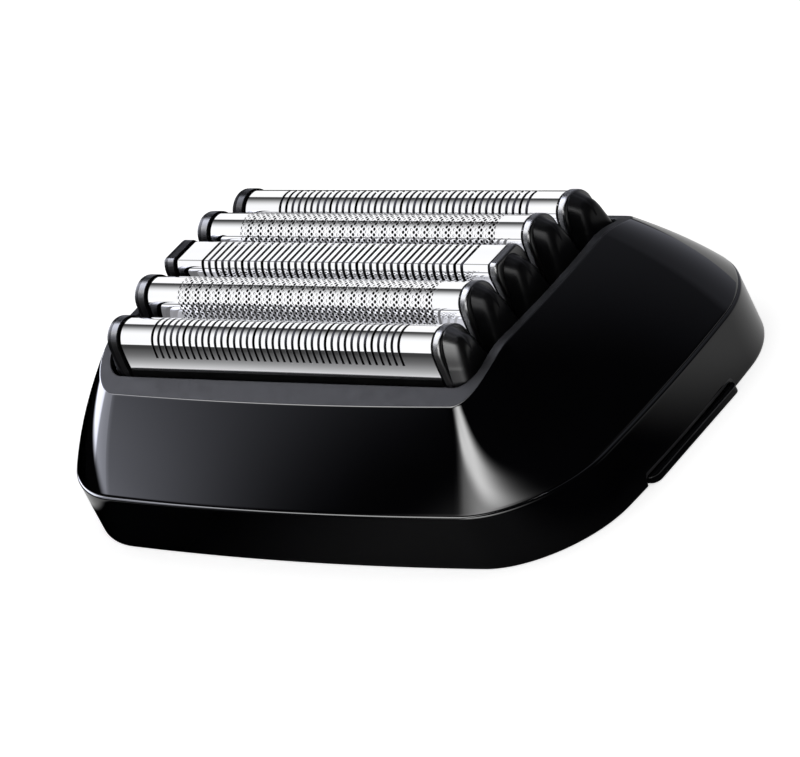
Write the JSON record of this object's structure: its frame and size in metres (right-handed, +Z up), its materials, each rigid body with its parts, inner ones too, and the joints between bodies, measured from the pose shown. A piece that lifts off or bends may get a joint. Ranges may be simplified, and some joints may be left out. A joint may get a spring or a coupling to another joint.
{
  "type": "shaver foil head",
  "caption": "Replacement foil head for an electric shaver: sprung slotted and perforated steel foils over oscillating cutters in a gloss black housing with release tabs.",
  "frame": {"origin": "middle of the skirt's lower edge plane", "axes": "+X along the foils to the right, +Y to the back, +Z up towards the foils"},
  "size_m": [0.067, 0.0408, 0.0201],
  "materials": {
    "black_gloss": "polished moulded black",
    "black_satin": "satin moulded black",
    "foil_steel": "mirror polished steel sheet",
    "blade_steel": "ground steel",
    "spring_steel": "drawn wire"
  },
  "bodies": {
    "head": {"upper_housing": "black_gloss", "lower_skirt": "black_gloss", "chassis": "black_satin", "chassis_screws": "spring_steel", "button_spring_right": "spring_steel", "button_spring_left": "spring_steel"},
    "yoke": {"drive_yoke": "black_satin", "cutter_spring_1": "spring_steel", "cutter_spring_2": "spring_steel", "cutter_spring_3": "spring_steel", "cutter_spring_4": "spring_steel", "cutter_spring_5": "spring_steel"},
    "foil_frame_1": {"foil_1": "foil_steel", "foil_carrier_1": "black_satin"},
    "foil_frame_2": {"foil_2": "foil_steel", "foil_carrier_2": "black_satin"},
    "foil_frame_3": {"foil_3": "foil_steel", "foil_carrier_3": "black_satin"},
    "foil_frame_4": {"foil_4": "foil_steel", "foil_carrier_4": "black_satin"},
    "foil_frame_5": {"foil_5": "foil_steel", "foil_carrier_5": "black_satin"},
    "cutter_1": {"blade_pack_1": "blade_steel", "blade_holder_1": "black_satin"},
    "cutter_2": {"blade_pack_2": "blade_steel", "blade_holder_2": "black_satin"},
    "cutter_3": {"blade_pack_3": "blade_steel", "blade_holder_3": "black_satin"},
    "cutter_4": {"blade_pack_4": "blade_steel", "blade_holder_4": "black_satin"},
    "cutter_5": {"blade_pack_5": "blade_steel", "blade_holder_5": "black_satin"},
    "button_right": {"release_button_right": "black_gloss"},
    "button_left": {"release_button_left": "black_gloss"}
  },
  "joints": [
    {"name": "yoke_stroke", "type": "slide", "parent": "head", "child": "yoke", "axis": [1, 0, 0], "range_m": [-0.001, 0.001]},
    {"name": "foil_float_1", "type": "slide", "parent": "head", "child": "foil_frame_1", "axis": [0, 0, -1], "range_m": [0, 0.0015], "stiffness_N_per_m": 300, "springref_m": -0.0008, "deforming": ["cutter_spring_1"]},
    {"name": "foil_float_2", "type": "slide", "parent": "head", "child": "foil_frame_2", "axis": [0, 0, -1], "range_m": [0, 0.0015], "stiffness_N_per_m": 300, "springref_m": -0.0008, "deforming": ["cutter_spring_2"]},
    {"name": "foil_float_3", "type": "slide", "parent": "head", "child": "foil_frame_3", "axis": [0, 0, -1], "range_m": [0, 0.0015], "stiffness_N_per_m": 300, "springref_m": -0.0008, "deforming": ["cutter_spring_3"]},
    {"name": "foil_float_4", "type": "slide", "parent": "head", "child": "foil_frame_4", "axis": [0, 0, -1], "range_m": [0, 0.0015], "stiffness_N_per_m": 300, "springref_m": -0.0008, "deforming": ["cutter_spring_4"]},
    {"name": "foil_float_5", "type": "slide", "parent": "head", "child": "foil_frame_5", "axis": [0, 0, -1], "range_m": [0, 0.0015], "stiffness_N_per_m": 300, "springref_m": -0.0008, "deforming": ["cutter_spring_5"]},
    {"name": "cutter_stroke_1", "type": "slide", "parent": "foil_frame_1", "child": "cutter_1", "axis": [1, 0, 0], "range_m": [-0.001, 0.001]},
    {"name": "cutter_stroke_2", "type": "slide", "parent": "foil_frame_2", "child": "cutter_2", "axis": [1, 0, 0], "range_m": [-0.001, 0.001]},
    {"name": "cutter_stroke_3", "type": "slide", "parent": "foil_frame_3", "child": "cutter_3", "axis": [1, 0, 0], "range_m": [-0.001, 0.001]},
    {"name": "cutter_stroke_4", "type": "slide", "parent": "foil_frame_4", "child": "cutter_4", "axis": [1, 0, 0], "range_m": [-0.001, 0.001]},
    {"name": "cutter_stroke_5", "type": "slide", "parent": "foil_frame_5", "child": "cutter_5", "axis": [1, 0, 0], "range_m": [-0.001, 0.001]},
    {"name": "button_press_right", "type": "slide", "parent": "head", "child": "button_right", "axis": [-1, 0, 0], "range_m": [0, 0.001], "stiffness_N_per_m": 800, "springref_m": -0.0006, "deforming": ["button_spring_right"]},
    {"name": "button_press_left", "type": "slide", "parent": "head", "child": "button_left", "axis": [1, 0, 0], "range_m": [0, 0.001], "stiffness_N_per_m": 800, "springref_m": -0.0006, "deforming": ["button_spring_left"]}
  ],
  "couplings": [
    {"joint": "cutter_stroke_1", "follows": "yoke_stroke", "ratio": 1},
    {"joint": "cutter_stroke_2", "follows": "yoke_stroke", "ratio": 1},
    {"joint": "cutter_stroke_3", "follows": "yoke_stroke", "ratio": 1},
    {"joint": "cutter_stroke_4", "follows": "yoke_stroke", "ratio": 1},
    {"joint": "cutter_stroke_5", "follows": "yoke_stroke", "ratio": 1}
  ]
}
